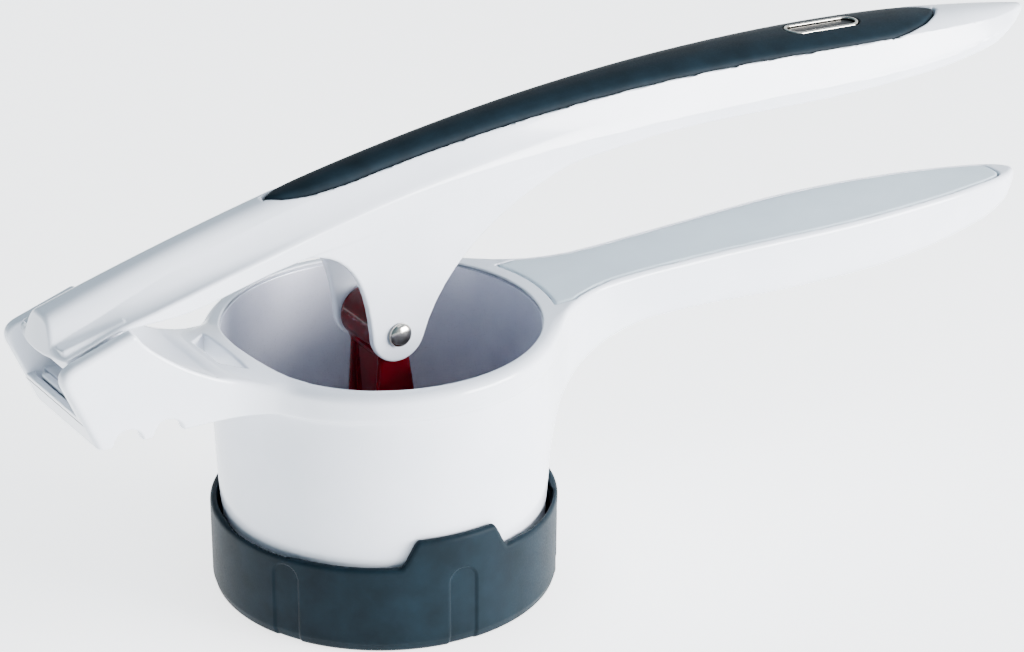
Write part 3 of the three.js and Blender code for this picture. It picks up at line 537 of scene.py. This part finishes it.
def plunger(x, y, z):
    side, from_pin = np.abs(y), np.hypot(x - PIN_X, z - PIN_Z)
    barrel = smax(from_pin - 7, side - 7.8, 1)
    up = np.clip((z - PLATE_Z - 2) / (PIN_Z - PLATE_Z - 2), 0, 1)
    stem = smax(-9.2 + 4.6 * up - x, x - 12.4 + 9.8 * up, 1)
    stem = smax(most(stem, z - PIN_Z, PLATE_Z + 1 - z), side - 7.8, 1)
    pocket = most(1.3 - np.abs(x - PLATE_X), side - 5.5, PLATE_Z + 3 - z, z - PIN_Z + 8)
    body = smin(carve(stem, pocket, 1.6), barrel, 1.6)
    plate = smax(np.hypot(x - PLATE_X, y) - PLATE_R, np.abs(z - PLATE_Z - 1.5) - 1.5, 1)
    for angle in (0, 60, 120):
        c, s = math.cos(math.radians(angle)), math.sin(math.radians(angle))
        out, across = np.abs((x - PLATE_X) * c + y * s), np.abs(y * c - (x - PLATE_X) * s)
        ridge = np.interp(out, (0, 10, 30), (9, 9, 2))
        rib = smax(across - 1, (z - PLATE_Z - ridge) * 0.94, 0.7)
        plate = smin(plate, most(rib, out - 30, PLATE_Z + 1 - z), 1.4)
    return carve(smin(body, plate, 2.5), from_pin - 2.3, 0.4)


def dome(radius, start, height, turn=-1):
    angles = np.radians(np.linspace(90, 0, 12))
    return [(radius * math.sin(a), start + turn * height * math.cos(a)) for a in angles]


def plunger_pin():
    profile = [(0, 11.1), (2, 11.1), (2, -11), (3.2, -11), (3.2, -11.3)] + dome(3.2, -11.35, 1.35)
    return lathe("plunger_pin_turned", profile, (PIN_X, 0, PIN_Z), about_y=True, steps=96)


def plunger_pin_cap():
    profile = [(0, 11.8), (2.3, 11.8), (2.3, 11), (3.2, 11), (3.2, 11.9)] + dome(3.2, 11.95, 1.4, 1)
    return lathe("plunger_pin_cap_turned", profile, (PIN_X, 0, PIN_Z), about_y=True, steps=96)


def hinge_pin():
    profile = [(0, -16.3), (2.2, -16.3), (2.5, -16), (2.5, 16.6), (3.8, 16.6)] + dome(3.8, 16.65, 1.05, 1)
    return lathe("hinge_pin_turned", profile, (HINGE_X, 0, HINGE_Z), about_y=True, steps=96)


# ---- Liner, foot ring and disc ----

def chamber_liner():
    profile = [(40, 5), (40.6, 5), (41.8, 71.1), (41.2, 71.1), (40, 5)]
    rows = rounded([profile[-2]] + profile + [profile[1]], 0.15)
    return lathe("chamber_liner_drawn", rows[1:-1], steps=256)


def lock_ring(x, y, z):
    radius, angle = np.hypot(x, y), np.degrees(np.arctan2(y, x))
    off = np.abs((angle - TAB_ANGLE + 180) % 360 - 180)
    rise = (20 - off) / 7
    tall = TAB_TOP_Z - RING_TOP_Z
    slope = np.where((rise > 0) & (rise < 1), 6 * rise * (1 - rise) * tall / 5.5, 0)
    top = (z - RING_TOP_Z - tall * smooth(rise)) / np.sqrt(1 + slope ** 2)
    turn = np.radians((angle - ARCH_ANGLE + 30) % 60 - 30) * RING_R
    arch = np.hypot(turn, np.maximum(z - 18.3, 0)) - 3.8
    outer = np.interp(z, (0, 1, 3, 32), (43.9, 44.7, 45.3, 45.5)) - 0.45 * smooth(0.5 - arch / 0.8)
    ring = smax(radius - outer, top, 1.5)
    turn = (angle - LUG_ANGLE + 100) % 120 - 100
    climb = TWIST_DROP / TWIST * np.maximum(0, -turn)
    low = LUG_Z - 0.5 + np.maximum(0, climb - 0.54)
    high = LUG_Z + LUG_HEIGHT + 1.04 + climb
    groove = most(low - z, z - high, (turn - 4.5) * 0.76, (-turn - 70.5) * 0.76)
    inner = RING_INNER_R + 0.75 * smooth(0.5 - groove / 0.7)
    ring = carve(ring, most(radius - inner, 2.4 - z), 0.5)
    return smax(smax(ring, 37.5 - radius, 0.6), -z, 0.8)


def ricing_disc(x, y, z):
    step = 7.6
    row = np.round(y / (step * 0.866))
    shift = np.abs(row % 2) / 2
    column = np.round(x / step - shift)
    hole_x, hole_y = (column + shift) * step, row * step * 0.866
    hole = np.where(np.hypot(hole_x, hole_y) > 34, 9, np.hypot(x - hole_x, y - hole_y) - 1.8)
    plate = smax(np.hypot(x, y) - 42, np.abs(z - 3.3) - 0.6, 0.4)
    return carve(plate, hole, 0.35)


# ---- Materials ----

def colour(code):
    """A display colour as linear light."""
    parts = [int(code[i:i + 2], 16) / 255 for i in (0, 2, 4)]
    return tuple(p / 12.92 if p <= 0.04045 else ((p + 0.055) / 1.055) ** 2.4 for p in parts) + (1,)


def texture(tree, kind, scale, **inputs):
    node = tree.nodes.new(kind)
    node.inputs["Scale"].default_value = scale
    for name, value in inputs.items():
        node.inputs[name].default_value = value
    return node


def stretched(tree, amount):
    """Object coordinates, drawn out by the given amounts."""
    coords = tree.nodes.new("ShaderNodeTexCoord")
    mapping = tree.nodes.new("ShaderNodeMapping")
    mapping.inputs["Scale"].default_value = amount
    tree.links.new(coords.outputs["Object"], mapping.inputs["Vector"])
    return mapping.outputs["Vector"]


def surface(name, dark, light, rough, grain, metallic=0.0, patch=55.0, stretch=(1, 1, 1), **sockets):
    """Mottled colour, uneven gloss, a fine grain and a slight waviness."""
    material = bpy.data.materials.new(name)
    material.use_nodes = True
    tree = material.node_tree
    shader = tree.nodes["Principled BSDF"]
    link = tree.links.new
    plain, drawn = stretched(tree, (1, 1, 1)), stretched(tree, stretch)

    mottle = texture(tree, "ShaderNodeTexNoise", patch, Detail=4.0)
    ramp = tree.nodes.new("ShaderNodeValToRGB")
    for stop, (place, tone) in zip(ramp.color_ramp.elements, ((0.3, dark), (0.7, light))):
        stop.position, stop.color = place, colour(tone)
    link(plain, mottle.inputs["Vector"])
    link(mottle.outputs["Fac"], ramp.inputs["Fac"])
    link(ramp.outputs["Color"], shader.inputs["Base Color"])

    scale, depth = grain
    fine = texture(tree, "ShaderNodeTexNoise", scale, Detail=3.0)
    span = tree.nodes.new("ShaderNodeMapRange")
    span.inputs["From Min"].default_value, span.inputs["From Max"].default_value = 0.25, 0.75
    span.inputs["To Min"].default_value, span.inputs["To Max"].default_value = rough
    link(drawn, fine.inputs["Vector"])
    link(fine.outputs["Fac"], span.inputs["Value"])
    link(span.outputs["Result"], shader.inputs["Roughness"])

    wavy = texture(tree, "ShaderNodeTexNoise", 90.0, Detail=1.0)
    bumps = []
    for source, distance in ((wavy, 0.00002), (fine, depth)):
        bump = tree.nodes.new("ShaderNodeBump")
        bump.inputs["Strength"].default_value = 0.6
        bump.inputs["Distance"].default_value = distance
        link(source.outputs["Fac"], bump.inputs["Height"])
        bumps.append(bump)
    link(plain, wavy.inputs["Vector"])
    link(bumps[0].outputs["Normal"], bumps[1].inputs["Normal"])
    link(bumps[1].outputs["Normal"], shader.inputs["Normal"])
    shader.inputs["Metallic"].default_value = metallic
    for socket, value in sockets.items():
        shader.inputs[socket.replace("_", " ")].default_value = value
    return material


def gloss_white(name):
    return surface(name, "dadfe7", "e2e6ee", (0.16, 0.24), (900, 0.000006), Coat_Weight=0.25)


# The blue-grey base colour is painted shade: the cover's up-facing top is drawn darker than the white plastic
# around it.
def satin_cover():
    return surface("satin_cover", "c4d2da", "cedce3", (0.3, 0.42), (2600, 0.00002))


def slate(name, dark, light, rough, depth):
    return surface(name, dark, light, rough, (2400, depth), patch=120, Specular_IOR_Level=0.06)


def steel(name, rough=(0.12, 0.2)):
    return surface(name, "b0aba2", "cbc7be", rough, (1500, 0.000004), metallic=1.0)


def brushed(name, dark, light, stretch, metallic=1.0):
    return surface(name, dark, light, (0.26, 0.36), (1500, 0.0000015), metallic=metallic, stretch=stretch)


def clear_red():
    return surface("clear_red", "4a0008", "66000c", (0.1, 0.18), (700, 0.000006), patch=70,
                   Transmission_Weight=0.2, IOR=1.45, Specular_IOR_Level=0.25)


# ---- The pieces ----

def place(piece, node, body, slot, material):
    piece.data.materials.clear()
    piece.data.materials.append(material)
    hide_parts(node)
    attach(piece, body)


def make_pieces():
    white, press_white, retainer_white = gloss_white("gloss_white"), gloss_white("handle_white"), \
        gloss_white("retainer_white")
    place(skin("chamber_body_moulded", chamber_body, (-100, -47, 3), (207, 47, 96)),
          "chamber_body", "chamber", "gloss_white", white)
    place(chamber_liner(), "chamber_liner", "chamber", "liner_steel",
          brushed("liner_steel", "d6d8e6", "e6e8f2", (1, 1, 14), 0.6))
    place(skin("lower_cover_inlay", lower_cover, (42, -16, 66), (200, 16, 75), 0.5),
          "lower_handle_cover", "chamber", "satin_cover", satin_cover())
    place(skin("hinge_retainer_clip", hinge_retainer, (-98, -15, 66), (-85, 15, 78), 0.35),
          "hinge_retainer", "chamber", "retainer_white", retainer_white)
    place(hinge_pin(), "hinge_pin", "chamber", "hinge_steel", steel("hinge_steel"))
    place(skin("upper_handle_moulded", upper_handle, (-100, -15, 62), (207, 15, 130)),
          "upper_handle", "press_handle", "handle_white", press_white)
    place(skin("soft_grip_overmould", soft_grip, (-35, -13, 106), (176, 13, 130), 0.5),
          "soft_grip", "press_handle", "soft_grip", slate("soft_grip", "0f191f", "15222a", (0.45, 0.6), 0.00004))
    place(skin("badge_trim", badge_bezel, (123, -5, 122), (150, 5, 130), 0.22),
          "badge_bezel", "press_handle", "bezel_chrome", steel("bezel_chrome", (0.05, 0.12)))
    place(skin("badge_inlay", badge_plate, (123, -5, 122), (150, 5, 130), 0.3),
          "badge_plate", "press_handle", "badge_black",
          surface("badge_black", "0a0b0d", "15171a", (0.3, 0.42), (1800, 0.00001), Specular_IOR_Level=0.1))
    place(skin("plunger_moulded", plunger, (-40, -37, 3), (36, 37, 81), 0.55),
          "plunger", "press_plunger", "clear_red", clear_red())
    place(plunger_pin(), "plunger_pin", "press_handle", "pin_steel", steel("pin_steel"))
    place(plunger_pin_cap(), "plunger_pin_cap", "press_handle", "cap_steel", steel("cap_steel"))
    place(skin("lock_ring_moulded", lock_ring, (-47, -47, -1), (47, 47, 33), 0.45),
          "lock_ring", "foot_ring", "ring_slate", slate("ring_slate", "0c171d", "111f27", (0.4, 0.55), 0.00003))
    place(skin("ricing_disc_punched", ricing_disc, (-43, -43, 2), (43, 43, 5), 0.42),
          "ricing_disc", "disc", "disc_steel", brushed("disc_steel", "b4b6b8", "cbccce", (1, 9, 1)))


# ---- Floor, light and camera ----

TARGET = Vector(((39.32 + CHAMBER_X) * MM, 0, 61.19 * MM))
CAMERA_TURN, CAMERA_RISE, CAMERA_DISTANCE, CAMERA_LENS = -31.66, 24.71, 1.0, 134.04


def direction(turn, rise):
    """From the target outwards. Turn 0 is along -Y, and positive turns go towards +X."""
    a, e = math.radians(turn), math.radians(rise)
    return Vector((math.sin(a) * math.cos(e), -math.cos(a) * math.cos(e), math.sin(e)))


def make_floor():
    bpy.ops.mesh.primitive_grid_add(x_subdivisions=8, y_subdivisions=8, size=8)
    floor = bpy.context.object
    floor.name = "floor"
    material = surface("floor_white", "f4f5f7", "f8f9fb", (0.7, 0.85), (300, 0.00001))
    shader = material.node_tree.nodes["Principled BSDF"]
    shader.inputs["Emission Color"].default_value = (1, 1, 1, 1)
    shader.inputs["Emission Strength"].default_value = 2.5
    floor.data.materials.append(material)


def make_light(name, turn, rise, distance, size, power, tint=(1, 1, 1)):
    data = bpy.data.lights.new(name, "AREA")
    data.shape, data.size, data.size_y = "RECTANGLE", size[0], size[1]
    data.energy, data.color = power, tint
    lamp = bpy.data.objects.new(name, data)
    way = direction(turn, rise)
    lamp.location = TARGET + way * distance
    lamp.rotation_mode = "QUATERNION"
    lamp.rotation_quaternion = (-way).to_track_quat("-Z", "Y")
    bpy.context.scene.collection.objects.link(lamp)


def world_ramp(tree, source, stops, low=0.0):
    """Colour by one coordinate of the direction looked in."""
    span = tree.nodes.new("ShaderNodeMapRange")
    span.inputs["From Min"].default_value = low
    ramp = tree.nodes.new("ShaderNodeValToRGB")
    while len(ramp.color_ramp.elements) < len(stops):
        ramp.color_ramp.elements.new(0.5)
    for element, (place_at, tone) in zip(ramp.color_ramp.elements, stops):
        element.position, element.color = place_at, (*tone, 1)
    tree.links.new(source, span.inputs["Value"])
    tree.links.new(span.outputs["Result"], ramp.inputs["Fac"])
    return ramp.outputs["Color"]


def make_world():
    """A pale studio: bright on the handles' side, dim and cool behind the hinge and overhead."""
    world = bpy.data.worlds.new("studio")
    bpy.context.scene.world = world
    world.use_nodes = True
    tree = world.node_tree
    coords = tree.nodes.new("ShaderNodeTexCoord")
    split = tree.nodes.new("ShaderNodeSeparateXYZ")
    both = tree.nodes.new("ShaderNodeVectorMath")
    both.operation = "MULTIPLY"
    tree.links.new(coords.outputs["Generated"], split.inputs["Vector"])
    sideways = ((0.0, (0.09, 0.13, 0.15)), (0.4, (0.22, 0.28, 0.32)), (1.0, (1, 1, 1)))
    upwards = ((0.0, (1, 1, 1)), (0.3, (0.85, 0.9, 0.95)), (1.0, (0.42, 0.52, 0.58)))
    tree.links.new(world_ramp(tree, split.outputs["X"], sideways, -1), both.inputs[0])
    tree.links.new(world_ramp(tree, split.outputs["Z"], upwards), both.inputs[1])
    tree.links.new(both.outputs["Vector"], tree.nodes["Background"].inputs["Color"])
    tree.nodes["Background"].inputs["Strength"].default_value = 2.2


def make_camera():
    data = bpy.data.cameras.new("camera")
    data.lens, data.sensor_width = CAMERA_LENS, 36
    data.clip_start, data.clip_end = 0.05, 50
    camera = bpy.data.objects.new("camera", data)
    way = direction(CAMERA_TURN, CAMERA_RISE)
    camera.location = TARGET + way * CAMERA_DISTANCE
    camera.rotation_mode = "QUATERNION"
    camera.rotation_quaternion = (-way).to_track_quat("-Z", "Y")
    bpy.context.scene.collection.objects.link(camera)
    bpy.context.scene.camera = camera


make_pieces()
make_floor()
make_world()
make_light("key", 40, 8, 1.6, (1.1, 0.8), 125, (1, 0.985, 1))
make_light("fill", 20, 62, 1.6, (0.9, 0.6), 5, (0.94, 0.94, 1))
make_camera()

bpy.context.view_layer.update()
